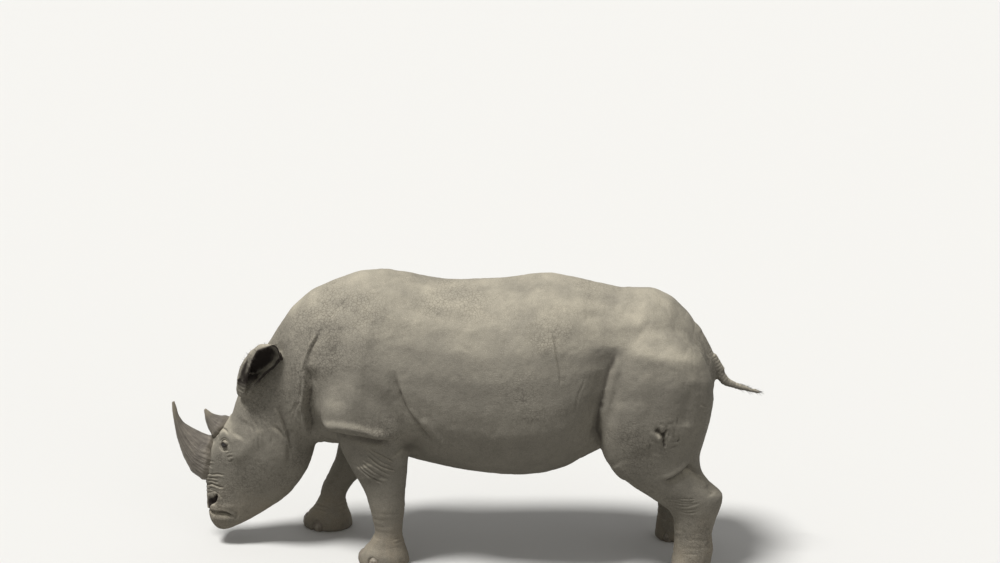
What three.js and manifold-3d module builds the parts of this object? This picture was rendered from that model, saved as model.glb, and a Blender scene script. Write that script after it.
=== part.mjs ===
// A life-size white rhinoceros, grazing in mid-step with its head lowered to the grass, as a still museum model.
// Millimetres, +Z up. The animal faces -X and its left side is -Y. The finished model is shifted at the end, so that the
// origin is the centre of its footprint on the floor.
import * as THREE from "three";
import { mergeVertices } from "three/addons/utils/BufferGeometryUtils.js";
import Module from "manifold-3d";

const wasm = await Module();
wasm.setup();

// ---- driving dimensions ----
const GAP = 0.4; // clearance between neighbouring pieces
const SKIN_COLOUR = 0x8d8577;
const HORN_COLOUR = 0x6f675b;
const NAIL_COLOUR = 0x9a9183;
const EYE_COLOUR = 0x1a1411;
const STANCE = 285; // centre line of each foot, out from the middle of the body
const BODY_LOFT = { sides: 24, step: 135 };
const LIMB_LOFT = { sides: 14, step: 140 };
const HORN_LOFT = { sides: 10, step: 90 };
const TAIL_LOFT = { sides: 8, step: 66 };
const LEG_INSIDE = 118; // where the legs part from the trunk, out from the middle of the body
const EYE = { x: -1416, y: 123, z: 640, radius: 20 };
const ALL_ROUND = { y: 0, wide: 0.5, roof: 2, keel: 2 }; // what a station has when it says nothing else

// ---- body: one loft from the rump to the lips ----
// Each station is a cut across the body, from its top point to its under point in the side view [x, z].
// half is the half-width at the widest place, wide is how far up that place lies (0 under, 1 top), and
// roof and keel say how round the upper and lower halves are (2 is an ellipse, less is pointed, more is boxy).
const BODY = [
  { top: [1440, 1130], under: [1425, 960], half: 40 }, // buttocks
  { top: [1424, 1222], under: [1405, 850], half: 170 },
  { top: [1370, 1335], under: [1335, 765], half: 275 },
  { top: [1280, 1468], under: [1235, 735], half: 332 }, // tail root
  { top: [1180, 1568], under: [1140, 735], half: 366 },
  { top: [1072, 1616], under: [1030, 740], half: 382, keel: 2.1 }, // croup
  { top: [900, 1610], under: [870, 715], half: 408, wide: 0.48, keel: 2.2 },
  { top: [745, 1636], under: [730, 648], half: 460, wide: 0.46, roof: 1.95, keel: 2.2 }, // flank
  { top: [600, 1666], under: [600, 565], half: 500, wide: 0.45, roof: 1.95, keel: 2.2 }, // loin
  { top: [463, 1688], under: [460, 520], half: 515, wide: 0.44, roof: 1.95, keel: 2.2 },
  { top: [240, 1655], under: [240, 508], half: 515, wide: 0.44, keel: 2.2 }, // belly
  { top: [30, 1638], under: [20, 520], half: 500, wide: 0.45, keel: 2.1 },
  { top: [-200, 1644], under: [-200, 548], half: 465, wide: 0.47, roof: 1.9 }, // behind the shoulder
  { top: [-341, 1678], under: [-330, 575], half: 445, wide: 0.48, roof: 1.75 },
  { top: [-482, 1700], under: [-460, 605], half: 432, wide: 0.48, roof: 1.65 }, // hump
  { top: [-624, 1686], under: [-590, 628], half: 415, wide: 0.48, roof: 1.65 },
  { top: [-766, 1630], under: [-710, 640], half: 385, wide: 0.47, roof: 1.75 }, // chest
  { top: [-905, 1562], under: [-810, 646], half: 336, wide: 0.45, roof: 1.85 }, // neck
  { top: [-1030, 1450], under: [-872, 640], half: 282, wide: 0.45, roof: 1.95 },
  { top: [-1108, 1332], under: [-895, 622], half: 228, wide: 0.42, roof: 1.9 },
  { top: [-1188, 1208], under: [-905, 606], half: 196, wide: 0.4, roof: 1.9 }, // nape
  { top: [-1284, 1060], under: [-908, 590], half: 182, wide: 0.4, roof: 2.1 }, // crown, between the ears
  { top: [-1356, 905], under: [-912, 568], half: 186, wide: 0.4, roof: 2.5 }, // forehead
  { top: [-1394, 785], under: [-925, 530], half: 192, wide: 0.43, roof: 2.6 }, // rear horn, cheek
  { top: [-1466, 690], under: [-950, 465], half: 187, wide: 0.42, roof: 2.7 }, // eyes
  { top: [-1520, 590], under: [-995, 392], half: 168, wide: 0.43, roof: 2.6 },
  { top: [-1548, 480], under: [-1054, 314], half: 144, wide: 0.45, roof: 2.5 }, // front horn
  { top: [-1558, 380], under: [-1130, 250], half: 126, wide: 0.5, roof: 2.5 },
  { top: [-1558, 300], under: [-1222, 190], half: 121, wide: 0.52, roof: 2.8, keel: 2.2 }, // nostrils
  { top: [-1550, 215], under: [-1320, 134], half: 120, wide: 0.52, roof: 3.2, keel: 2.5 },
  { top: [-1534, 150], under: [-1392, 100], half: 112, wide: 0.52, roof: 3, keel: 2.6 }, // lips
  { top: [-1504, 104], under: [-1440, 86], half: 88, wide: 0.52, roof: 2.6, keel: 2.6 },
];
const NECK_CUT = [[-828, 1700], [-905, 560]]; // trunk and neck
const NAPE_CUT = [[-1160, 1330], [-885, 540]]; // neck and head
const MOUTH_CUT = [[-1600, 204], [-1000, 262]]; // head and jaw

// The left shoulder, which ends in a roll of skin over the foreleg. fore and aft are side-view points.
const SHOULDER = [
  { fore: [-800, 1300], aft: [-350, 1290], y: 212, half: 130 },
  { fore: [-832, 1130], aft: [-290, 1110], y: 244, half: 178, roof: 2.1 },
  { fore: [-846, 980], aft: [-258, 930], y: 266, half: 192, roof: 2.4, keel: 2.1 },
  { fore: [-832, 890], aft: [-262, 838], y: 274, half: 184, roof: 2.5, keel: 2.2 },
  { fore: [-806, 838], aft: [-290, 776], y: 272, half: 168, roof: 2.4, keel: 2.2 },
  { fore: [-756, 814], aft: [-350, 758], y: 268, half: 120 },
];

// The left foreleg, from inside the shoulder to the floor.
const FORELEG = [
  { fore: [-760, 1000], aft: [-300, 1000], y: 268, half: 110 },
  { fore: [-745, 860], aft: [-296, 840], y: 278, half: 118 },
  { fore: [-722, 740], aft: [-304, 725], y: 284, half: 126 }, // elbow
  { fore: [-678, 640], aft: [-312, 625], y: 288, half: 123, roof: 2.1 },
  { fore: [-622, 545], aft: [-322, 535], y: 289, half: 112, roof: 2.1, keel: 2.1 }, // forearm
  { fore: [-566, 440], aft: [-334, 430], y: 288, half: 100, roof: 2.2, keel: 2.1 },
  { fore: [-538, 345], aft: [-338, 335], y: 287, half: 94, roof: 2.3, keel: 2.2 }, // wrist
  { fore: [-520, 260], aft: [-350, 255], y: 286, half: 84, roof: 2.3, keel: 2.2 },
  { fore: [-508, 190], aft: [-354, 188], y: 286, half: 82, roof: 2.2, keel: 2.1 }, // ankle
  { fore: [-544, 125], aft: [-340, 118], y: STANCE, half: 98, roof: 2.2, keel: 2.1 },
  { fore: [-596, 68], aft: [-320, 60], y: STANCE, half: 119, wide: 0.48, roof: 2.2, keel: 2.1 },
  { fore: [-612, 22], aft: [-312, 20], y: STANCE, half: 125, wide: 0.48, roof: 2.2, keel: 2.1 },
  { fore: [-602, 0], aft: [-320, 0], y: STANCE, half: 117, wide: 0.48, roof: 2.2, keel: 2.1 },
];

// The left hind leg, from inside the hip to the floor.
const HIND_LEG = [
  { fore: [965, 1470], aft: [1260, 1410], y: 200, half: 110 },
  { fore: [895, 1350], aft: [1376, 1285], y: 228, half: 190, roof: 2.8 }, // hip
  { fore: [852, 1200], aft: [1430, 1160], y: 246, half: 216, roof: 2.9 },
  { fore: [822, 1060], aft: [1440, 1040], y: 250, half: 228, wide: 0.52, roof: 2.9 },
  { fore: [794, 920], aft: [1420, 925], y: 258, half: 225, wide: 0.52, roof: 2.8, keel: 2.1 }, // thigh
  { fore: [784, 800], aft: [1392, 800], y: 264, half: 206, wide: 0.52, roof: 2.5, keel: 2.1 },
  { fore: [808, 695], aft: [1366, 705], y: 269, half: 184, roof: 2.3, keel: 2.1 },
  { fore: [880, 598], aft: [1376, 622], y: 274, half: 160, roof: 2.1, keel: 2.1 }, // knee
  { fore: [990, 520], aft: [1420, 560], y: 278, half: 138, roof: 2.1, keel: 2.1 },
  { fore: [1102, 450], aft: [1502, 488], y: 281, half: 118, roof: 2.1, keel: 2.2 }, // hock
  { fore: [1184, 394], aft: [1496, 428], y: 283, half: 106, roof: 2.1, keel: 2.2 },
  { fore: [1220, 335], aft: [1468, 350], y: STANCE, half: 96, roof: 2.1, keel: 2.2 },
  { fore: [1226, 240], aft: [1442, 250], y: STANCE, half: 90, roof: 2.1, keel: 2.1 }, // ankle
  { fore: [1222, 140], aft: [1454, 152], y: STANCE, half: 97, roof: 2.2, keel: 2.1 },
  { fore: [1212, 72], aft: [1440, 64], y: STANCE, half: 110, roof: 2.2, keel: 2.1 },
  { fore: [1208, 22], aft: [1440, 20], y: STANCE, half: 114, roof: 2.2, keel: 2.1 },
  { fore: [1218, 0], aft: [1432, 0], y: STANCE, half: 106, roof: 2.2, keel: 2.1 },
];

// The step: how far forward of the stations above a leg lies, as [height, shift] from the hip or shoulder down.
const AS_DRAWN = [[0, 0]];
const FORE_STEP = { left: AS_DRAWN, right: [[800, 0], [220, -420], [0, -420]] };
const HIND_STEP = { left: AS_DRAWN, right: [[1500, -30], [1000, -90], [500, -180], [240, -110], [0, -105]] };

// The tail leaves the rump, hangs along it and swings out behind. upper and lower are its edges in the side view.
const TAIL = [
  { upper: [1268, 1470], lower: [1218, 1400], half: 42 },
  { upper: [1352, 1392], lower: [1290, 1330], half: 42 },
  { upper: [1400, 1302], lower: [1340, 1250], half: 38 },
  { upper: [1443, 1216], lower: [1389, 1178], half: 34 },
  { upper: [1482, 1146], lower: [1430, 1112], half: 29 },
  { upper: [1520, 1092], lower: [1482, 1054], half: 23 },
  { upper: [1572, 1064], lower: [1552, 1032], half: 17 },
  { upper: [1636, 1043], lower: [1626, 1016], half: 13 },
  { upper: [1710, 1022], lower: [1706, 1004], half: 9 },
];

// The horns: aft is the edge towards the crown, fore the edge towards the lips.
const FRONT_HORN = [
  { aft: [-1440, 600], fore: [-1470, 340], half: 92 },
  { aft: [-1526, 652], fore: [-1588, 372], half: 90 },
  { aft: [-1580, 672], fore: [-1652, 416], half: 75 },
  { aft: [-1636, 700], fore: [-1702, 520], half: 56 },
  { aft: [-1688, 732], fore: [-1734, 634], half: 38 },
  { aft: [-1716, 776], fore: [-1748, 728], half: 26 },
  { aft: [-1726, 824], fore: [-1757, 800], half: 17 },
  { aft: [-1738, 862], fore: [-1758, 852], half: 9 },
];
const REAR_HORN = [
  { aft: [-1330, 735], fore: [-1450, 600], half: 70 },
  { aft: [-1404, 771], fore: [-1518, 652], half: 66 },
  { aft: [-1452, 776], fore: [-1544, 692], half: 47 },
  { aft: [-1506, 788], fore: [-1560, 744], half: 27 },
  { aft: [-1554, 822], fore: [-1566, 808], half: 7 },
];

// ---- lofting ----
const NUMBERS = ["ax", "az", "bx", "bz", "y", "half", "wide", "roof", "keel"];

// One station as plain numbers: a is the top, fore or upper edge, and b is the other one.
function plain(station) {
  const s = { ...ALL_ROUND, ...station };
  const [ax, az] = s.top ?? s.fore ?? s.upper;
  const [bx, bz] = s.under ?? s.aft ?? s.lower;
  return { ...s, ax, az, bx, bz };
}

// How far apart two stations are, as the mean of their two edges.
function apart(p, q) {
  return (Math.hypot(p.ax - q.ax, p.az - q.az) + Math.hypot(p.bx - q.bx, p.bz - q.bz)) / 2;
}

// The stations with more between them, about `step` apart, on smooth curves through each of their numbers.
function refine(stations, step) {
  const at = [0];
  for (let i = 1; i < stations.length; i++) at.push(at[i - 1] + apart(stations[i - 1], stations[i]));
  const rise = (i, key) => (stations[i + 1][key] - stations[i][key]) / (at[i + 1] - at[i]);
  const slope = (i, key) => {
    if (i === 0) return rise(0, key);
    if (i === stations.length - 1) return rise(i - 1, key);
    const before = at[i] - at[i - 1];
    const after = at[i + 1] - at[i];
    return (rise(i, key) * before + rise(i - 1, key) * after) / (before + after);
  };
  const rings = [];
  for (let i = 0; i + 1 < stations.length; i++) {
    const length = at[i + 1] - at[i];
    const count = Math.max(1, Math.round(length / step));
    for (let k = 0; k < count; k++) {
      const t = k / count;
      const ring = {};
      for (const key of NUMBERS)
        ring[key] =
          (2 * t ** 3 - 3 * t ** 2 + 1) * stations[i][key] +
          (t ** 3 - 2 * t ** 2 + t) * length * slope(i, key) +
          (3 * t ** 2 - 2 * t ** 3) * stations[i + 1][key] +
          (t ** 3 - t ** 2) * length * slope(i + 1, key);
      rings.push(ring);
    }
  }
  rings.push(stations[stations.length - 1]);
  return rings;
}

// The points of one ring, grown outwards by `grow`.
function ringPoints(ring, sides, grow) {
  const long = Math.hypot(ring.ax - ring.bx, ring.az - ring.bz);
  const [ux, uz] = [(ring.ax - ring.bx) / long, (ring.az - ring.bz) / long];
  const points = [];
  for (let j = 0; j < sides; j++) {
    const turn = (2 * Math.PI * j) / sides;
    const [c, s] = [Math.cos(turn), Math.sin(turn)];
    const power = 2 / (c >= 0 ? ring.roof : ring.keel);
    const reach = (c >= 0 ? 1 - ring.wide : ring.wide) * long + grow;
    const along = ring.wide * long + Math.sign(c) * Math.abs(c) ** power * reach;
    const across = Math.sign(s) * Math.abs(s) ** power * (ring.half + grow);
    points.push([ring.bx + ux * along, ring.y + across, ring.bz + uz * along]);
  }
  return points;
}

// A closed surface through equal rings of points, with a fan over each end.
function surface(rings) {
  const sides = rings[0].length;
  const points = rings.flat();
  const faces = [];
  for (let i = 0; i + 1 < rings.length; i++)
    for (let j = 0; j < sides; j++) {
      const [a, b] = [i * sides + j, i * sides + ((j + 1) % sides)];
      faces.push(a, b, b + sides, a, b + sides, a + sides);
    }
  for (const [ring, flip] of [[0, true], [rings.length - 1, false]]) {
    const middle = [0, 1, 2].map((k) => rings[ring].reduce((sum, p) => sum + p[k] / sides, 0));
    points.push(middle);
    for (let j = 0; j < sides; j++) {
      const [a, b] = [ring * sides + j, ring * sides + ((j + 1) % sides)];
      faces.push(points.length - 1, ...(flip ? [b, a] : [a, b]));
    }
  }
  return geometryOf(points, faces);
}

function geometryOf(points, faces) {
  const g = new THREE.BufferGeometry();
  g.setAttribute("position", new THREE.Float32BufferAttribute(points.flat(), 3));
  g.setIndex(faces);
  return g;
}

// A geometry as a manifold-3d solid, turned to face outwards.
function solid(geometry) {
  const g = geometry.clone();
  g.deleteAttribute("normal");
  g.deleteAttribute("uv");
  const merged = mergeVertices(g, 1e-4);
  const vertProperties = new Float32Array(merged.attributes.position.array);
  const triVerts = new Uint32Array(merged.index.array);
  const build = () => new wasm.Manifold(new wasm.Mesh({ numProp: 3, vertProperties, triVerts }));
  const made = build();
  if (made.volume() > 0) return made;
  for (let i = 0; i < triVerts.length; i += 3) [triVerts[i], triVerts[i + 1]] = [triVerts[i + 1], triVerts[i]];
  return build();
}

// An end ring moved away from its neighbour by `grow`.
function pushed(end, next, grow) {
  const [dx, dz] = [end.ax + end.bx - next.ax - next.bx, end.az + end.bz - next.az - next.bz];
  const shift = grow / Math.hypot(dx, dz);
  return {
    ...end,
    ax: end.ax + dx * shift,
    bx: end.bx + dx * shift,
    az: end.az + dz * shift,
    bz: end.bz + dz * shift,
  };
}

function loft(stations, { sides, step }, grow = 0) {
  const rings = refine(stations.map(plain), step);
  const last = rings.length - 1;
  const ends = [pushed(rings[0], rings[1], grow), pushed(rings[last], rings[last - 1], grow)];
  [rings[0], rings[last]] = ends;
  return solid(surface(rings.map((ring) => ringPoints(ring, sides, grow))));
}

// ---- limbs ----
function shiftAt(step, z) {
  let i = 0;
  while (i + 1 < step.length && z < step[i + 1][0]) i++;
  const [z0, dx0] = step[i];
  const [z1, dx1] = step[Math.min(i + 1, step.length - 1)];
  return z0 === z1 ? dx0 : dx0 + (dx1 - dx0) * THREE.MathUtils.clamp((z0 - z) / (z0 - z1), 0, 1);
}

// The left-hand stations set on one side of the body, and forward or back by its step.
function placed(stations, side, step = AS_DRAWN) {
  const move = ([x, z]) => [x + shiftAt(step, z), z];
  return stations.map((s) => ({ ...s, fore: move(s.fore), aft: move(s.aft), y: side * s.y }));
}

const LIMBS = [];
for (const [word, side] of [["left", -1], ["right", 1]]) {
  const fore = placed(FORELEG, side, FORE_STEP[word]);
  const hind = placed(HIND_LEG, side, HIND_STEP[word]);
  LIMBS.push({ word, side, stations: fore, names: ["upper_foreleg", "lower_foreleg", "forefoot"], joint: 400 });
  LIMBS.push({ word, side, stations: hind, names: ["thigh", "hind_shank", "hindfoot"], joint: 560 });
}
const ANKLE = 165; // height of the cut above each foot

// A leg's region in the side view, from the trunk's cut down past the floor.
const LEG_REGION = {
  upper_foreleg: [[-775, 854], [-268, 796], [-268, -20], [-1100, -20], [-1080, 160], [-962, 330], [-820, 600]],
  thigh: [[905, 1440], [1700, 1440], [1700, -20], [880, -20], [764, 640], [764, 800]],
};

// A side-view outline made larger by `by` all round.
function outset(outline, by) {
  const points = outline.map(([x, z]) => new THREE.Vector2(x, z));
  const turn = THREE.ShapeUtils.isClockWise(points) ? 1 : -1;
  const normal = (p, q) => new THREE.Vector2(-(q.y - p.y) * turn, (q.x - p.x) * turn).normalize();
  return points.map((p, i) => {
    const before = normal(points.at(i - 1), p);
    const after = normal(p, points[(i + 1) % points.length]);
    const corner = before.clone().add(after);
    return p.clone().addScaledVector(corner, (2 * by) / corner.lengthSq());
  });
}

// A block with that outline, from `inside` out to well past the skin on one side of the body.
function block(outline, side, grow) {
  const shape = new THREE.Shape(outset(outline, grow));
  const g = new THREE.ExtrudeGeometry(shape, { depth: 600, bevelEnabled: false });
  const toSide = new THREE.Matrix4().makeBasis(
    new THREE.Vector3(1, 0, 0),
    new THREE.Vector3(0, 0, 1),
    new THREE.Vector3(0, side, 0),
  );
  toSide.setPosition(0, side * (LEG_INSIDE - grow), 0);
  return solid(g.applyMatrix4(toSide));
}

// ---- small pieces ----
function ellipsoid([x, y, z], [rx, ry, rz], around, down, turn = 0) {
  const g = new THREE.SphereGeometry(1, around, down);
  g.rotateX(Math.PI / 2);
  g.scale(rx, ry, rz);
  g.rotateZ(turn);
  g.translate(x, y, z);
  return solid(g);
}

// The three toes of a foot, each a pad with a nail over its front. The sizes of a pad and a nail are half its depth,
// half its width as a share of the foot's half-width, and half its height.
const TOES = [
  { name: "inner", turn: -64, size: 0.84 },
  { name: "middle", turn: 0, size: 1 },
  { name: "outer", turn: 64, size: 0.84 },
];
const TOE = { pad: [60, 0.48, 74], nail: [38, 0.44, 58], padIn: 60, nailIn: 26, padUp: 30, nailUp: 24 };
function toes(sole, side) {
  const middle = (sole.ax + sole.bx) / 2;
  const reach = Math.abs(sole.ax - sole.bx) / 2;
  return TOES.map(({ name, turn, size }) => {
    const angle = THREE.MathUtils.degToRad(turn) * side;
    const out = reach * Math.cos(angle) ** 2 + sole.half * Math.sin(angle) ** 2;
    const at = (inset, z) => [
      middle - Math.cos(angle) * (out - inset),
      sole.y + Math.sin(angle) * (out - inset),
      z,
    ];
    const flat = (body) => body.trimByPlane([0, 0, 1], 0);
    const [px, py, pz] = [TOE.pad[0], TOE.pad[1] * sole.half * size, TOE.pad[2] * size];
    const [nx, ny, nz] = [TOE.nail[0], TOE.nail[1] * sole.half * size, TOE.nail[2] * size];
    const nail = (grow) =>
      ellipsoid(at(TOE.nailIn, TOE.nailUp), [nx + grow, ny + grow, nz + grow], 8, 6, -angle);
    return {
      name,
      pad: flat(ellipsoid(at(TOE.padIn, TOE.padUp), [px, py, pz], 8, 5, -angle)),
      nail: flat(nail(0)),
      room: nail(GAP),
    };
  });
}

// An ear: a leaf rolled into a tube at its root and opening into a wide cup, as [along, radius, front, behind, bow].
// front and behind are how far it wraps round each way, in degrees from the middle of its back, and bow is how far it
// is shifted towards the place that EAR.bows gives, in the same degrees.
const EAR = { length: 372, thick: 13, rows: 6, around: 6, bows: 60 };
const EAR_SHAPE = [
  [0, 52, 172, 172, 0],
  [0.15, 61, 170, 160, 18],
  [0.32, 71, 159, 142, 27],
  [0.5, 79, 142, 120, 23],
  [0.68, 91, 119, 106, 9],
  [0.84, 83, 101, 97, 0],
  [0.94, 61, 96, 92, -5],
  [1, 26, 88, 88, -7],
];
function earShape(t) {
  const i = Math.max(1, EAR_SHAPE.findIndex(([at]) => at >= t));
  const [a, b] = [EAR_SHAPE[i - 1], EAR_SHAPE[i]];
  const k = (t - a[0]) / (b[0] - a[0]);
  const [, radius, front, behind, bow] = a.map((value, j) => value + (b[j] - value) * k);
  return { radius, front: THREE.MathUtils.degToRad(front), behind: THREE.MathUtils.degToRad(behind), bow };
}
const EAR_BULB = { reach: [96, 60, 60], up: 34, in: 34 }; // the fleshy root that joins an ear to the head
function ear({ root, axis, opening }) {
  const along = new THREE.Vector3(...axis).normalize();
  const across = new THREE.Vector3().crossVectors(along, new THREE.Vector3(...opening)).normalize();
  const back = new THREE.Vector3().crossVectors(along, across).normalize();
  const bulb = new THREE.SphereGeometry(1, 8, 6).scale(...EAR_BULB.reach);
  bulb.applyMatrix4(new THREE.Matrix4().makeBasis(along, across, back.clone().negate()));
  bulb.translate(...new THREE.Vector3(...root).addScaledVector(along, EAR_BULB.up).toArray());
  bulb.translate(0, -Math.sign(root[1]) * EAR_BULB.in, 0);
  const bowed = -Math.sign(root[1]) * THREE.MathUtils.degToRad(EAR.bows);
  const bowing = back.clone().multiplyScalar(Math.cos(bowed)).addScaledVector(across, -Math.sin(bowed));
  // A ring goes round the outside of the leaf from rim to rim and comes back along its inside.
  const ring = (t) => {
    const { radius, front, behind, bow } = earShape(t);
    const [first, last] = root[1] < 0 ? [front, behind] : [behind, front];
    const point = (r, k) => {
      const turn = ((first + last) * k) / EAR.around - first;
      return new THREE.Vector3(...root)
        .addScaledVector(along, EAR.length * t)
        .addScaledVector(bowing, bow)
        .addScaledVector(back, r * Math.cos(turn))
        .addScaledVector(across, r * Math.sin(turn))
        .toArray();
    };
    const inner = Math.max(radius * 0.4, radius - EAR.thick);
    const points = [];
    for (let k = 0; k <= EAR.around; k++) points.push(point(radius, k));
    for (let k = EAR.around; k >= 0; k--) points.push(point(inner, k));
    return points;
  };
  const rings = [];
  for (let i = 0; i <= EAR.rows; i++) rings.push(ring(i / EAR.rows));
  return solid(openRings(rings)).add(solid(bulb));
}

// A closed surface through rings that are folded leaves: each end is closed from its outside to its inside.
function openRings(rings) {
  const count = rings[0].length;
  const points = rings.flat();
  const faces = [];
  for (let i = 0; i + 1 < rings.length; i++)
    for (let j = 0; j < count; j++) {
      const [a, b] = [i * count + j, i * count + ((j + 1) % count)];
      faces.push(a, b, b + count, a, b + count, a + count);
    }
  const last = (rings.length - 1) * count;
  for (let k = 0; k + 1 < count / 2; k++) {
    const [a, b, c, d] = [k, k + 1, count - 2 - k, count - 1 - k];
    faces.push(a, c, b, a, d, c);
    faces.push(last + a, last + b, last + c, last + a, last + c, last + d);
  }
  return geometryOf(points, faces);
}
// The left ear stands out and back with its opening to the side, and the right one is laid back along the neck.
const EARS = {
  left: { root: [-1290, -150, 980], axis: [0.53, -0.24, 0.82], opening: [0.5, -0.84, 0.05] },
  right: { root: [-1280, 152, 985], axis: [0.72, 0.42, 0.54], opening: [0.35, 0.9, -0.15] },
};

// The part of a solid on one side of a cut across the side view, from p to q. Going from p to q with the head at the
// left of the view, side 1 keeps what lies on the right hand and side -1 what lies on the left hand.
function beyond(body, [[px, pz], [qx, qz]], side) {
  const length = Math.hypot(qx - px, qz - pz);
  const normal = [(side * (qz - pz)) / length, 0, (side * (px - qx)) / length];
  return body.trimByPlane(normal, normal[0] * px + normal[2] * pz + GAP / 2);
}

// ---- the animal ----
const pieces = new Map(); // node name to [solid, colour]

function flesh(grow) {
  let made = loft(BODY, BODY_LOFT, grow);
  for (const side of [-1, 1]) made = made.add(loft(placed(SHOULDER, side), LIMB_LOFT, grow));
  for (const limb of LIMBS) made = made.add(loft(limb.stations, LIMB_LOFT, grow));
  return made;
}
const whole = flesh(0);
const wholeRoom = flesh(GAP);

let trunk = whole;
for (const { word, side, stations, names, joint } of LIMBS) {
  const [upper, lower, foot] = names;
  const limb = whole.intersect(block(LEG_REGION[upper], side, 0));
  trunk = trunk.subtract(block(LEG_REGION[upper], side, GAP));
  const above = (body, z) => body.trimByPlane([0, 0, 1], z + GAP / 2);
  const below = (body, z) => body.trimByPlane([0, 0, -1], GAP / 2 - z);
  let sole = below(limb, ANKLE);
  const made = toes(plain(stations.at(-1)), side);
  for (const toe of made) sole = sole.add(toe.pad);
  for (const toe of made) {
    sole = sole.subtract(toe.room);
    pieces.set(`nail_${foot}_${word}_${toe.name}`, [toe.nail, NAIL_COLOUR]);
  }
  pieces.set(`${foot}_${word}`, [sole, SKIN_COLOUR]);
  pieces.set(`${lower}_${word}`, [above(below(limb, joint), ANKLE), SKIN_COLOUR]);
  pieces.set(`${upper}_${word}`, [above(limb, joint), SKIN_COLOUR]);
}
pieces.set("trunk", [beyond(trunk, NECK_CUT, -1), SKIN_COLOUR]);
const ahead = beyond(trunk, NECK_CUT, 1);
pieces.set("neck", [beyond(ahead, NAPE_CUT, -1), SKIN_COLOUR]);

let head = beyond(ahead, NAPE_CUT, 1);
for (const [word, side] of [["left", -1], ["right", 1]]) {
  const ball = (radius) => ellipsoid([EYE.x, side * EYE.y, EYE.z], [radius, radius, radius], 8, 6);
  pieces.set(`eye_${word}`, [ball(EYE.radius), EYE_COLOUR]);
  head = head.subtract(ball(EYE.radius + GAP));
}
pieces.set("head", [beyond(head, MOUTH_CUT, -1), SKIN_COLOUR]);
pieces.set("jaw", [beyond(head, MOUTH_CUT, 1), SKIN_COLOUR]);

const headRoom = loft(BODY, BODY_LOFT, GAP);
const rearHorn = loft(REAR_HORN, HORN_LOFT).subtract(headRoom);
const frontHorn = loft(FRONT_HORN, HORN_LOFT).subtract(headRoom).subtract(loft(REAR_HORN, HORN_LOFT, GAP));
pieces.set("horn_rear", [rearHorn, HORN_COLOUR]);
pieces.set("horn_front", [frontHorn, HORN_COLOUR]);
for (const [word, place] of Object.entries(EARS))
  pieces.set(`ear_${word}`, [ear(place).subtract(headRoom), SKIN_COLOUR]);
pieces.set("tail", [loft(TAIL, TAIL_LOFT).subtract(wholeRoom), SKIN_COLOUR]);

// ---- meshes ----
function meshOf(name, [body, colour]) {
  const [largest] = body.decompose().sort((p, q) => q.volume() - p.volume());
  const made = largest.getMesh();
  const g = new THREE.BufferGeometry();
  const points = new Float32Array(made.numVert * 3);
  for (let i = 0; i < made.numVert; i++)
    points.set(made.vertProperties.subarray(i * made.numProp, i * made.numProp + 3), 3 * i);
  g.setAttribute("position", new THREE.BufferAttribute(points, 3));
  g.setIndex(new THREE.BufferAttribute(new Uint32Array(made.triVerts), 1));
  const material = new THREE.MeshStandardMaterial({ color: colour, roughness: 0.85, metalness: 0 });
  const mesh = new THREE.Mesh(g, material);
  mesh.name = name;
  return mesh;
}

const rhinoceros = new THREE.Group();
for (const [name, piece] of pieces) rhinoceros.add(meshOf(name, piece));
const box = new THREE.Box3().setFromObject(rhinoceros);
rhinoceros.position.set(-(box.min.x + box.max.x) / 2, -(box.min.y + box.max.y) / 2, -box.min.z);
export default rhinoceros;
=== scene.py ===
"""A life-size white rhinoceros, grazing, as a museum shows it.

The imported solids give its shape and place. One smooth skin is grown over those that are flesh, and sculpted
with the folds, creases, lids and wrinkles of the hide. Horns, nails and eyes are pieces of their own.
Metres, +Z up. The animal faces -X and its left side is -Y.
"""

import math
from collections import namedtuple

import bmesh
import bpy
import numpy as np
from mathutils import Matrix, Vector
from mathutils.bvhtree import BVHTree
from numpy.linalg import norm


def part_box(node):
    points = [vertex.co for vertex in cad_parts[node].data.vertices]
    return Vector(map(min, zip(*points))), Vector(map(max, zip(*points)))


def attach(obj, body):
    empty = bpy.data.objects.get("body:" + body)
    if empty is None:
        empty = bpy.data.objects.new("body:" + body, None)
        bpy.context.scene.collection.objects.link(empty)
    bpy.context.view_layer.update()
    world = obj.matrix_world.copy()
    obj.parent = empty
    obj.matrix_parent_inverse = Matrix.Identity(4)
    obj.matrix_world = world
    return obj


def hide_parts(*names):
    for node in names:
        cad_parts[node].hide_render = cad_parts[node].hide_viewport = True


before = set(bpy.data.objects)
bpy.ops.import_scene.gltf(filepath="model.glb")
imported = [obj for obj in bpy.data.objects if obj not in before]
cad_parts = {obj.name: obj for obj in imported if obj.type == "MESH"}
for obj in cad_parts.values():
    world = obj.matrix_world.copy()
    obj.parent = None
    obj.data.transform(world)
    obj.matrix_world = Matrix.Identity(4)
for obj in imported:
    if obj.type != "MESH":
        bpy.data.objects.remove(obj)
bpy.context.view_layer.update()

SIDES = {"left": -1, "right": 1}


def both(*parts):
    """The nodes of these parts, left and right."""
    return [f"{part}_{side}" for part in parts for side in SIDES]


EARS = both("ear")
SHANKS = both("lower_foreleg", "hind_shank")
FEET = both("forefoot", "hindfoot")
FLESH = ["trunk", "neck", "head", "jaw", "tail"]
FLESH += both("ear", "upper_foreleg", "lower_foreleg", "forefoot", "thigh", "hind_shank", "hindfoot")
NAILS = [f"nail_{foot}_{toe}" for foot in FEET for toe in ("inner", "middle", "outer")]
HORNS = ["horn_front", "horn_rear"]

SKIN_VOXEL = 0.008
SKIN_GROWTH = 0.002  # the solids' flat faces lie a little inside the round shapes that they stand for
SEED = 7


# ---- small helpers ----
def ramp(low, high, value):
    """0 up to low, 1 from high on, and a smooth rise between."""
    share = np.clip((value - low) / (high - low), 0, 1)
    return share * share * (3 - 2 * share)


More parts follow.
